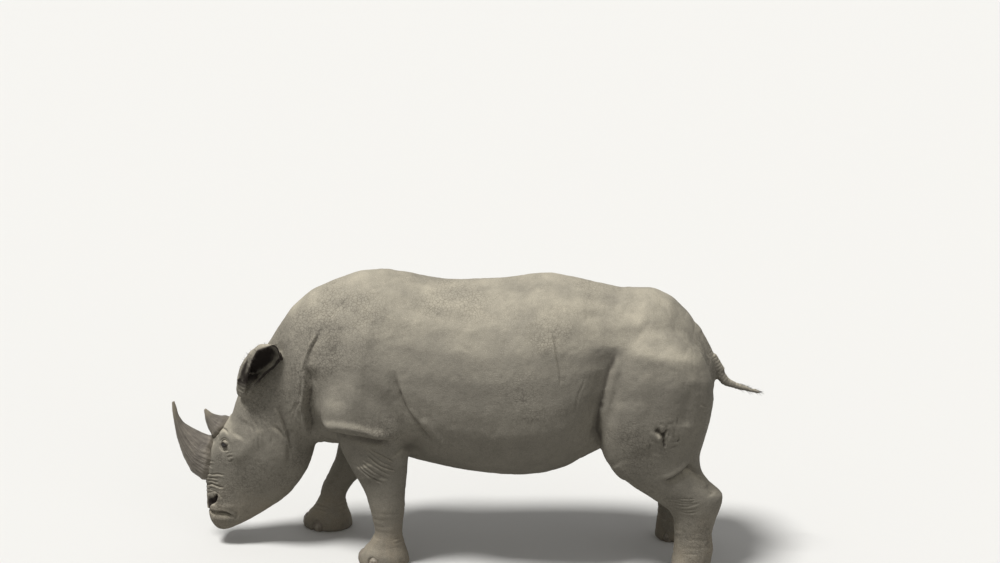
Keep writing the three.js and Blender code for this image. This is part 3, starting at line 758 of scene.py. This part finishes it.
def ring_push(clay):
    wobble = RING_WOBBLE * noise(clay.points, 0.09, 11)
    strength = RING_DEPTH * ramp(-0.5, 0.5, noise(clay.points, 0.06, 12))
    total = np.zeros(len(clay.points))
    for part, heights in RINGS.items():
        for name in both(part):
            low, high = box_of(name)
            mask = inside_box(clay.points, name, 0.03)
            for up in heights:
                level = low[2] + up * (high[2] - low[2])
                total -= strength * mask * bell(clay.points[:, 2] + wobble - level, RING_WIDTH)
    return total


# The tail's middle line in the side view, from its root to its end.
TAIL_LINE = [[-120, 970], [65, 800], [180, 610], [290, 435], [390, 280], [500, 155], [640, 100],
             [810, 57], [1000, 20]]
TAIL_HALF_WIDTH = 0.06  # more than the tail has, and less than the rump
TAIL_WRINKLE = {"depth": 0.0016, "spacing": 0.0032}  # metres; the spacing is that over 2 pi


def tail_push(clay):
    """Wrinkles across the tail, all of one width; they begin a little way down it."""
    line = side_curve("tail", TAIL_LINE)
    length = norm(np.diff(line, axis=0), axis=1).sum()
    mask = inside_box(clay.points, "tail", 0.01) * (np.abs(clay.points[:, 1]) < TAIL_HALF_WIDTH)
    _, _, share = along_line(clay.points[:, [0, 2]], line)
    wobble = 0.9 * noise(clay.points, 0.03, 31)
    waves = np.maximum(np.sin(share * length / TAIL_WRINKLE["spacing"] + wobble), 0)
    return -TAIL_WRINKLE["depth"] * mask * ramp(0.2, 0.4, share) * waves


COLLAR = {"height": 0.006, "away": 0.007, "width": 0.011}  # away is how far from the horn it stands highest
COLLAR_REACH = 0.05  # and how far from it the hide still rises


def collar_push(clay):
    """The hide swells into a rim round the root of each horn."""
    gaps = [distance_to(horn, clay.points, COLLAR_REACH) for horn in HORNS]
    return sum(COLLAR["height"] * bell(gap - COLLAR["away"], COLLAR["width"]) for gap in gaps)


# The scar's pits, in the thigh's box: its short deep hollow and the crease that runs down from it.
SCAR = [([[515, 425], [560, 390], [595, 370]], 0.022, 0.012),
        ([[615, 420], [585, 380], [585, 340], [600, 290]], 0.016, 0.008)]
SCAR_MIDDLE = (600, 380)
SCAR_WRINKLES = {"count": 26, "reach": 0.05, "half": 0.024, "bend": 0.005, "depth": 0.0042, "width": 0.005}


def scar_push(clay):
    """The old scar on the left thigh: a small hooked pit among short, crooked wrinkles."""
    node = "thigh_left"
    small = SCAR_WRINKLES
    normals = clay.normals()
    total = np.zeros(len(clay.points))
    chance = np.random.default_rng(SEED + 1)
    strokes = [(side_curve(node, pit), depth, width) for pit, depth, width in SCAR]
    middle = spot(node, *SCAR_MIDDLE)
    for _ in range(small["count"]):
        away = middle + chance.normal(0, small["reach"], 2)
        heading = math.atan2(*(away - middle)[::-1]) + math.pi / 2 + chance.normal(0, 0.6)
        step = small["half"] * np.array([math.cos(heading), math.sin(heading)])
        bent = chance.normal(0, small["bend"], 2)
        strokes.append((curve([away - step, away + bent, away + step]), small["depth"], small["width"]))
    for base, depth, width in strokes:
        total += line_push(clay, normals, base, Line(node, [], depth, width, depth / 3))
    return total


BODY_LUMPS = [((0.22, 0.22, 0.3), 0.0035, 1), (0.09, 0.0016, 2)]
FINE_LUMPS = [(0.03, 0.0007, 4), (0.018, 0.0004, 6)]
UPRIGHT = {"size": (0.05, 0.1, 0.16), "depth": 0.0016, "seed": 3}  # slack upright creases


def undulation(clay):
    """The soft unevenness of fat, muscle and slack skin, larger on the body than on head and legs."""
    points = clay.points
    body = ramp(0.45, 0.8, points[:, 2]) * ramp(-1.15, -0.8, points[:, 0])
    share = 0.4 + 0.6 * body
    creases = 1 - np.abs(noise(points, np.array(UPRIGHT["size"]), UPRIGHT["seed"])) * 3
    upright = -UPRIGHT["depth"] * np.maximum(creases, 0)
    return lumps(points, BODY_LUMPS) * share + upright * share + lumps(points, FINE_LUMPS)


def slack_skin(points):
    """Where the neck's skin lies in fine upright wrinkles."""
    neck = bell(points[:, 0] + 0.91, 0.13) * ramp(0.55, 0.7, points[:, 2])
    return neck * ramp(1.5, 1.1, points[:, 2]) * ramp(0.05, 0.2, np.abs(points[:, 1]))


# ---- nostrils ----
NOSTRIL = [[122, 96], [104, 73], [83, 62], [54, 53], [37, 36],
           [41, 14]]  # from its rear end down to its front end, in the head's box
NOSTRIL_DEPTH = 0.028
NOSTRIL_WIDTH = 0.0135
NOSTRIL_BANKS = (1.5, 0.75)  # its fore and upper bank slopes, the other is steep


def nostrils(clay, normals):
    """Sinks the nostrils and gives the painted shade in their pits."""
    distance, side, share = along_line(clay.points[:, [0, 2]], side_curve("head", NOSTRIL))
    side_on = ramp(0.05, 0.4, np.maximum(np.abs(normals[:, 1]), -0.6 * normals[:, 0]))
    out = ramp(0.045, 0.06, np.abs(clay.points[:, 1]))
    width = NOSTRIL_WIDTH * (0.4 + 0.75 * np.sin(math.pi * np.clip(share * 0.9 + 0.05, 0, 1)))
    pit = bell(distance / (width * np.where(side < 0, *NOSTRIL_BANKS)), 1.0) ** 1.5 * side_on * out
    clay.points -= normals * (NOSTRIL_DEPTH * pit)[:, None]
    return ramp(0.06, 0.4, pit)


# ---- eyes ----
EYE_SLANT = -14  # degrees, the long axis of the left eye in the side view
EYE_OPENING = (0.0178, 0.0125)  # half its length and half its height
LID = 0.0042  # how far the lids stand over the ball
LID_RIM = 0.0012
BEHIND_BALL = 0.004  # how far under the ball's surface the skin passes
CORNEA = 0.0012
# The creases round an eye: how deep, how far out in radii of the ball, how wide, whether above it (1) or
# below (-1), and the heights in radii between which each one deepens.
LID_FOLDS = [(0.008, 1.36, 0.0042, 1, -0.3, 0.7), (0.005, 1.85, 0.0036, 1, 0.0, 0.8),
             (0.006, 1.45, 0.0038, -1, 0.1, 0.9), (0.004, 1.9, 0.0036, -1, 0.3, 0.9)]


def eye_frame(clay, normals, side):
    """The ball's middle and radius, and unit vectors along the eye, up it and out of the head."""
    low, high = box_of(f"eye_{side}")
    middle = middle_of(f"eye_{side}")
    radius = (high[2] - low[2]) / 2
    near = norm(clay.points - middle, axis=1) < 3.5 * radius
    near &= normals[:, 1] * SIDES[side] > 0.3
    out = normals[near].mean(0)
    out /= norm(out)
    slant = math.radians(EYE_SLANT)
    run = np.array([math.cos(slant), 0, math.sin(slant)])
    run -= out * (run @ out)
    run /= norm(run)
    up = np.cross(out, run)
    return middle, radius, run, up * math.copysign(1, up[2]), out


def lids(clay, normals, side):
    """Lifts the skin into lids round the ball, opens an almond between them, and gives the painted shade
    round it.
    """
    middle, radius, run, up, out = eye_frame(clay, normals, side)
    offset = clay.points - middle
    near = (norm(offset, axis=1) < 3.2 * radius) & (normals @ out > -0.2)
    a, b, rise = (offset[near] @ axis for axis in (run, up, out))
    far = np.hypot(a, b)
    dome = np.sqrt(np.maximum((radius + LID) ** 2 - far**2, 0))
    ball = np.sqrt(np.maximum(radius**2 - far**2, 0))
    level = np.median(rise[(far > 1.7 * radius) & (far < 2.3 * radius)])
    around = level + (rise - level) * ramp(0.9 * radius, 2.2 * radius, far)
    lifted = np.maximum(around, dome) + 0.002 * bell(around - dome, 0.004)
    length, height = EYE_OPENING
    almond = np.abs(a / length) ** 1.7 + np.abs(b / height) ** 2
    closed = ramp(0.85, 1.25, almond)
    margin = LID_RIM * bell(np.sqrt(almond) - 1.12, 0.12)
    folds = sum(depth * bell(far - away * radius, width) * ramp(least, full, above * b / radius)
                for depth, away, width, above, least, full in LID_FOLDS)
    wanted = closed * (lifted + margin - folds) + (1 - closed) * (ball - BEHIND_BALL)
    clay.points[near] += out * (wanted - rise)[:, None]
    # painted shade on the lids round the opening
    dark = np.zeros(len(clay.points))
    dark[near] = 0.92 * bell(np.maximum(np.sqrt(almond) - 1.05, 0), 0.42)
    return dark


def add_eye(side, frame_of_eye, material):
    """The ball, with a cornea that stands out a little. Its points know how far off its axis they are."""
    middle, radius, run, _, out = frame_of_eye
    made = bmesh.new()
    bmesh.ops.create_uvsphere(made, u_segments=64, v_segments=40, radius=radius)
    eye = object_of(made, f"eyeball_{side}")
    clay = Clay(eye)
    forward = clay.points @ np.array([0, 0, 1.0]) / radius
    off_axis = np.degrees(np.arccos(np.clip(forward, -1, 1)))
    clay.points *= (1 + CORNEA * (1 - ramp(10, 38, off_axis)) / radius)[:, None]
    turn = np.column_stack([run, np.cross(out, run), out])
    clay.points = clay.points @ turn.T + middle
    clay.store("iris", off_axis / 40)
    clay.write()
    finish(eye, material, [f"eye_{side}"])


# ---- the skin ----
EAR_FACES = {"left": (0.5, -0.84, 0.05), "right": (0.35, 0.9, -0.15)}  # which way each ear's opening looks
EAR_SKIN = 0.012  # the skin of an ear is nearer to its solid than this
# Where the skin is smoothed less: the nodes, how far round them, and how much of the smoothing they keep.
FIRM = [(EARS, 0.04, 0.12), (["tail", *FEET], 0.05, 0.25), (["jaw"], 0.1, 0.35), (SHANKS, 0.1, 0.5)]
FINE_LINE = 0.013  # a line narrower than this needs a finer mesh, to this far on each side:
FINE_REACH = 0.02
EYE_REACH = 0.06  # the finest mesh reaches this far from an eye
NOSTRIL_REACH = 0.075  # and this far from a nostril's middle, which lies here in the head's box:
NOSTRIL_MIDDLE = (70, 60)
# painted shade in creases and wide hollows, by how deep they are:
CREASE_SHADE_DEPTHS = (0.0005, 0.004)  # how deep a crease is where it begins to look dark and where it is darkest
HOLLOW_SHADE_DEPTHS = (0.002, 0.014)  # the same for a wide hollow


def on_ear(side, points):
    return distance_to(f"ear_{side}", points, 0.02) < EAR_SKIN


def ear_height(side, points):
    """How high points lie, from an ear's root (0) to its point (1)."""
    low, high = box_of(f"ear_{side}")
    return (points[:, 2] - low[2]) / (high[2] - low[2])


def firmness(points):
    """How freely each point is smoothed: little on ears, tail, feet and muzzle."""
    free = np.ones(len(points))
    for nodes, margin, least in FIRM:
        for node in nodes:
            free *= 1 - (1 - least) * inside_box(points, node, margin)
    return free


def base_skin():
    """All the flesh as one closed mesh, grown a little, with its flat faces and joins smoothed away."""
    skin = copy_of(FLESH, "skin")
    clay = Clay(skin)
    clay.push(np.full(len(clay.points), SKIN_GROWTH))
    clay.write()
    voxelled(skin, SKIN_VOXEL)
    clay = Clay(skin)
    clay.smooth(70, 0.5 * firmness(clay.points))
    clay.smooth(6)
    clay.write()
    return skin


def near_lines(clay):
    """Which points lie so close to a line that the mesh must be finer there."""
    normals = clay.normals()
    near = np.zeros(len(clay.points), bool)
    for line, base, _ in [*strokes_of(BODY_LINES | LEG_LINES), *wrinkles()]:
        if line.width < FINE_LINE:
            wide = line._replace(depth=-1, width=FINE_REACH, lip=0, soft=0)
            near |= line_push(clay, normals, base, wide) > 0.25
    return near


def finer(skin):
    """Divides the mesh of head, feet, tail and lines once, and that of eyes and nostrils twice."""
    clay = Clay(skin)
    chosen = near_lines(clay)
    for node in ["head", "jaw", "tail", *EARS, *FEET]:
        chosen |= inside_box(clay.points, node, 0.02) > 0.5
    refined(skin, chosen)
    points = Clay(skin).points
    x, z = spot("head", *NOSTRIL_MIDDLE)
    chosen = np.hypot(points[:, 0] - x, points[:, 2] - z) < NOSTRIL_REACH
    for side in SIDES:
        chosen |= norm(points - middle_of(f"eye_{side}"), axis=1) < EYE_REACH
    refined(skin, chosen)
    clay = Clay(skin)
    clay.smooth(5)
    clay.write()


def ear_cup_shade(clay, normals):
    """The painted shade inside each ear's cup: how deep in the cup each point lies."""
    dark = np.zeros(len(clay.points))
    for side, face in EAR_FACES.items():
        facing = normals @ (np.array(face) / norm(face))
        mask = on_ear(side, clay.points) * ramp(0.2, 0.4, ear_height(side, clay.points))
        dark = np.maximum(dark, mask * ramp(0.15, 0.6, facing))
    return dark


def dress(material):
    """Makes the skin, sculpts it, and gives it with each eye's place."""
    skin = base_skin()
    finer(skin)
    clay = Clay(skin)
    clay.push(undulation(clay))
    for table in (BODY_LINES, LEG_LINES, HEAD_LINES):
        carve(clay, strokes_of(table))
    clay.push(ring_push(clay) + scar_push(clay) + tail_push(clay) + collar_push(clay))
    before = clay.points.copy()
    cup = ear_cup_shade(clay, clay.normals())
    carve(clay, wrinkles())
    clay.points += (before - clay.points) * cup[:, None]
    clay.smooth(2)
    normals = clay.normals()
    eyes = {side: eye_frame(clay, normals, side) for side in SIDES}
    # painted shade in the ears' cups, the nostrils' pits and round the eyes
    dark = np.maximum(ear_cup_shade(clay, normals), nostrils(clay, normals))
    for side in SIDES:
        dark = np.maximum(dark, lids(clay, normals, side))
    clay.rest_on_floor()
    normals = clay.normals()
    # painted shade in creases and in broad hollows
    crease_shade = ramp(*CREASE_SHADE_DEPTHS, clay.hollow(8, normals))
    hollow_shade = ramp(*HOLLOW_SHADE_DEPTHS, clay.hollow(90, normals))
    clay.store("fold", np.maximum(crease_shade, 0.6 * hollow_shade))
    # dust, together with a painted top light, on hide that faces up
    clay.store("dust", ramp(0.1, 0.9, normals[:, 2]))
    clay.store("soil", 1 - ramp(0.05, 0.5, clay.points[:, 2]))
    clay.store("slack", slack_skin(clay.points))
    clay.store("dark", dark)
    finish(skin, material, FLESH)
    return clay, eyes


# ---- horns ----
# Each horn's middle line in the side view, from its root to its point.
HORN_LINES = {
    "horn_front": [[1160, 210], [770, 300], [540, 360], [340, 490], [180, 640], [100, 780], [60, 900],
                   [40, 990]],
    "horn_rear": [[1090, 170], [650, 410], [420, 530], [200, 700], [40, 960]],
}
HORN_VOXEL = 0.0034
HORN_GROOVES = [((0.17, 0.17, 0.5), 0.0032, 21), ((0.06, 0.06, 0.2), 0.002, 22)]
HORN_KNOBS = [(0.016, 0.0016, 24)]
HORN_RIM = {"height": 0.004, "up": 0.03, "width": 0.012}  # up is how far from the head it lies
HORN_SHRINKS = 0.002
FIBRES = (9, 9, 3)  # how many there are, round the horn and along it, in the material's terms


def dress_horns(material):
    """Horns of packed fibres: rugged and like hide at the root, grooved along, and smooth at the point."""
    for name in HORNS:
        horn = copy_of([name], f"{name}_fibres")
        voxelled(horn, HORN_VOXEL)
        clay = Clay(horn)
        distance, side, share = along_line(clay.points[:, [0, 2]], side_curve(name, HORN_LINES[name]))
        clay.smooth(70, 0.5 * ramp(1.0, 0.8, share) + 0.12)
        turn = np.arctan2(clay.points[:, 1], side * distance)
        grain = np.column_stack([np.cos(turn), np.sin(turn), share])
        height = distance_to("head", clay.points, 0.6)
        root = 1 - ramp(0.018, 0.05, height + 0.012 * noise(clay.points, 0.02, 23))
        rugged = 0.15 + 0.85 * ramp(0.75, 0.1, share)
        rim = HORN_RIM["height"] * bell(height - HORN_RIM["up"], HORN_RIM["width"])
        relief = lumps(grain, HORN_GROOVES) + lumps(clay.points, HORN_KNOBS)
        clay.push(relief * rugged + rim - HORN_SHRINKS)
        clay.write()
        clay.store("root", root)
        clay.store("tip", ramp(0.72, 0.98, share))
        stored = horn.data.attributes.new("grain", "FLOAT_VECTOR", "POINT")
        stored.data.foreach_set("vector", (grain * FIBRES).astype(np.float32).ravel())
        finish(horn, material, [name])


# ---- nails ----
NAIL_VOXEL = 0.003
NAIL_RIDGES = [(0.0035, 0.0009, 41)]
NAIL_BANDS = [((0.2, 0.2, 0.008), 0.0005, 42)]
NAIL_GROWS = 0.001


def dress_nails(material):
    """Broad worn toenails with fine upright ridges."""
    for name in NAILS:
        nail = copy_of([name], f"{name}_plate")
        voxelled(nail, NAIL_VOXEL)
        clay = Clay(nail)
        clay.smooth(14)
        across = clay.points - middle_of(name)
        turn = np.arctan2(across[:, 1], across[:, 0])
        unrolled = np.column_stack([turn * 0.04, turn * 0, clay.points[:, 2] * 0.15])
        clay.push(lumps(unrolled, NAIL_RIDGES) + lumps(clay.points, NAIL_BANDS) + NAIL_GROWS)
        clay.rest_on_floor()
        clay.write()
        finish(nail, material, [name])


# ---- bristles ----
HAIR_ROWS = 5  # rings of points along a hair
HAIR_CORNERS = 3
HAIR_DROOP = 0.22  # how far its end sinks, as a share of its length
HAIR_TAPER = 0.88
HAIR_PATCH = 0.003  # the size of its place on the unwrap
HAIR_SUNK = 0.001  # how far its root lies in the skin


def hair_faces():
    """One hair's faces, as the numbers of its points."""
    faces = []
    for first in range(0, HAIR_CORNERS * (HAIR_ROWS - 1), HAIR_CORNERS):
        for k in range(HAIR_CORNERS):
            beside = (k + 1) % HAIR_CORNERS
            faces.append((first + k, first + beside, first + HAIR_CORNERS + beside, first + HAIR_CORNERS + k))
    last = HAIR_CORNERS * (HAIR_ROWS - 1)
    return [*faces, tuple(reversed(range(HAIR_CORNERS))), tuple(range(last, last + HAIR_CORNERS))]


def hairs(name, roots, ways, lengths, radius, places, material):
    """Many bristles as one mesh, each a thin three-sided cone that droops towards its end. places is where
    their roots lie on an unwrap of the skin around them."""
    ways = ways / norm(ways, axis=1)[:, None]
    across = np.cross(ways, (0.31, 0.52, 0.79))  # any direction that no hair takes
    across /= norm(across, axis=1)[:, None]
    third = np.cross(ways, across)
    share = np.linspace(0, 1, HAIR_ROWS)
    run = lengths[:, None] * share
    middle = roots[:, None] + ways[:, None] * run[..., None]
    middle[..., 2] -= HAIR_DROOP * run * share
    turn = np.arange(HAIR_CORNERS) * 2 * math.pi / HAIR_CORNERS
    ring = across[:, None] * np.cos(turn)[None, :, None] + third[:, None] * np.sin(turn)[None, :, None]
    thick = radius * (1 - HAIR_TAPER * share)
    points = middle[:, :, None] + ring[:, None] * thick[None, :, None, None]
    size = HAIR_ROWS * HAIR_CORNERS
    one = hair_faces()
    faces = [tuple(corner + size * index for corner in face) for index in range(len(roots)) for face in one]
    mesh = bpy.data.meshes.new(name)
    mesh.from_pydata(points.reshape(-1, 3).tolist(), [], faces)
    corner_of = np.empty(len(mesh.loops), np.int32)
    mesh.loops.foreach_get("vertex_index", corner_of)
    row, corner = np.divmod(corner_of % size, HAIR_CORNERS)
    offset = np.column_stack([corner / HAIR_CORNERS, row / HAIR_ROWS]) - 0.5
    unwrap = mesh.uv_layers.new(name="OFBake")
    patches = places[corner_of // size] + offset * HAIR_PATCH
    unwrap.data.foreach_set("uv", patches.astype(np.float32).ravel())
    cover(placed(name, mesh), material)


def ear_fringe(clay, side, material):
    """Short stiff hair along the rim of an ear, from half its height to its point."""
    normals = clay.normals()
    low, high = box_of(f"ear_{side}")
    height = ear_height(side, clay.points)
    bulge = -clay.hollow(6, normals)
    upper = np.flatnonzero(on_ear(side, clay.points) & (height > 0.45))
    rim = upper[bulge[upper] > np.quantile(bulge[upper], 0.88)]
    chance = np.random.default_rng(SEED + 50 + SIDES[side])
    chosen = chance.choice(rim, 260)
    roots = clay.points[chosen] - HAIR_SUNK * normals[chosen]
    ways = normals[chosen] + chance.normal(0, 0.22, (len(chosen), 3)) + np.array([0.15, 0, 0.5])
    lengths = chance.uniform(0.012, 0.028, len(chosen)) * ramp(0.3, 0.8, height[chosen])
    middle = (low + high) / 2
    turn = np.arctan2(roots[:, 1] - middle[1], roots[:, 0] - middle[0]) / (2 * math.pi) + 0.5
    places = np.column_stack([turn, height[chosen]])
    hairs(f"ear_fringe_{side}", roots, ways, lengths, 0.0006, places, material)


def tail_bristles(clay, material):
    """Stiff bristles along both edges of the tail's last fifth."""
    normals = clay.normals()
    line = side_curve("tail", TAIL_LINE)
    _, _, share = along_line(clay.points[:, [0, 2]], line)
    edge = (inside_box(clay.points, "tail", 0.002) > 0.5) & (share > 0.78) & (np.abs(normals[:, 1]) < 0.75)
    chance = np.random.default_rng(SEED + 60)
    chosen = chance.choice(np.flatnonzero(edge), 70)
    end = np.insert(line[-1] - line[-1 - CURVE_STEPS], 1, 0)
    end /= norm(end)
    roots = clay.points[chosen] - HAIR_SUNK * normals[chosen]
    ways = 0.45 * normals[chosen] + end + chance.normal(0, 0.14, (len(chosen), 3))
    lengths = chance.uniform(0.014, 0.034, len(chosen))
    turn = np.arctan2(normals[chosen, 1], normals[chosen, 2]) / (2 * math.pi) + 0.5
    hairs("tail_bristles", roots, ways, lengths, 0.0008, np.column_stack([turn, share[chosen]]), material)


bpy.context.scene.view_settings.view_transform = "Standard"
add_camera()
add_floor()
add_light()
clay, eyes = dress(skin_material())
wet = eye_material()
for side, place in eyes.items():
    add_eye(side, place, wet)
dress_horns(horn_material())
dress_nails(nail_material())
hair = hair_material()
for side in SIDES:
    ear_fringe(clay, side, hair)
tail_bristles(clay, hair)
